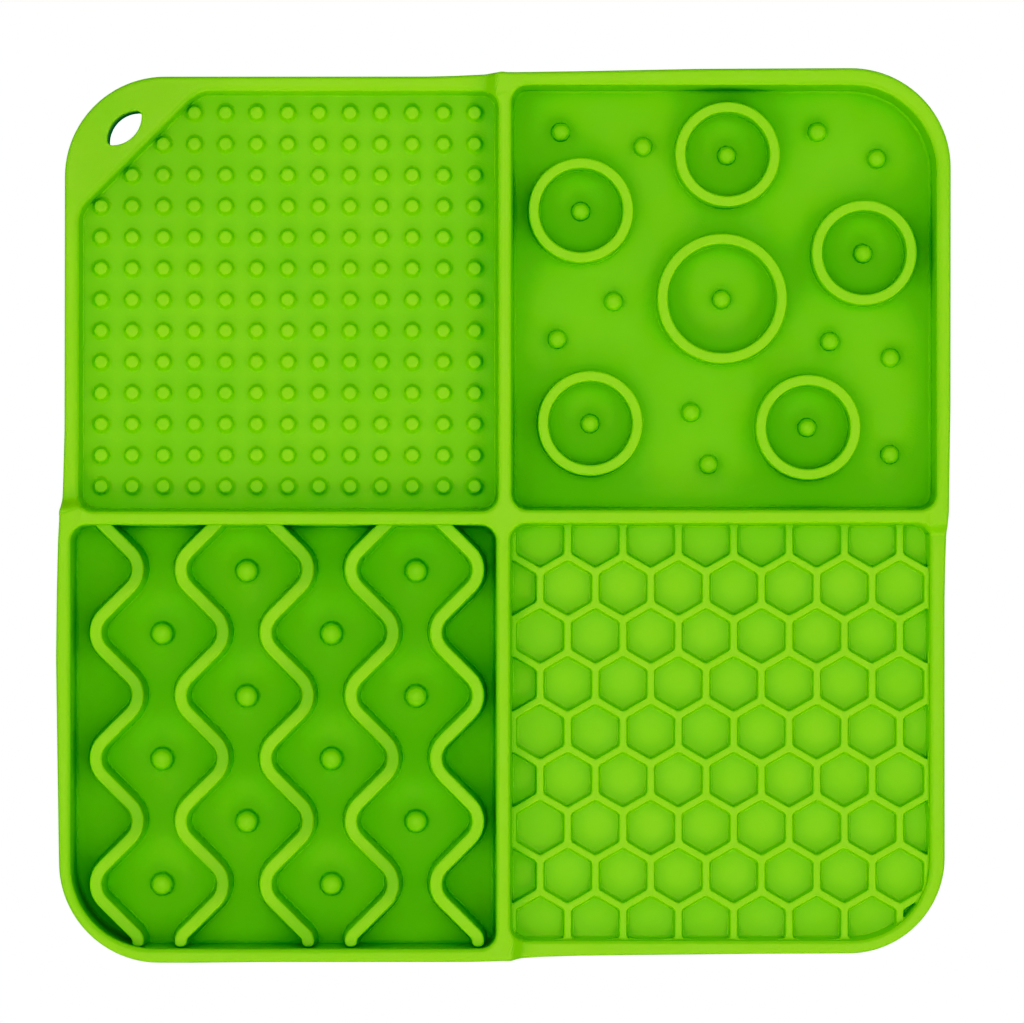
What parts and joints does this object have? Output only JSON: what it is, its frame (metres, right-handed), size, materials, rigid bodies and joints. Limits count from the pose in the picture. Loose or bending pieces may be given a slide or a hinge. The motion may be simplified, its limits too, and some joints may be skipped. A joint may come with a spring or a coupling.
{
  "type": "lick mat",
  "caption": "Square silicone rubber lick mat with a raised rim, divided by a cross into fields of dots, rings, wavy ribs and honeycomb, with a hanging hole in one corner.",
  "frame": {"origin": "centre of the underside, at the bottom of the bounding box", "axes": "+X to the right and +Y up in the picture, +Z out of the patterned face"},
  "size_m": [0.2, 0.1999, 0.01],
  "materials": {
    "rubber_lime": "lime green silicone rubber, satin and slightly translucent"
  },
  "bodies": {
    "root": {"mat": "rubber_lime"}
  },
  "joints": []
}
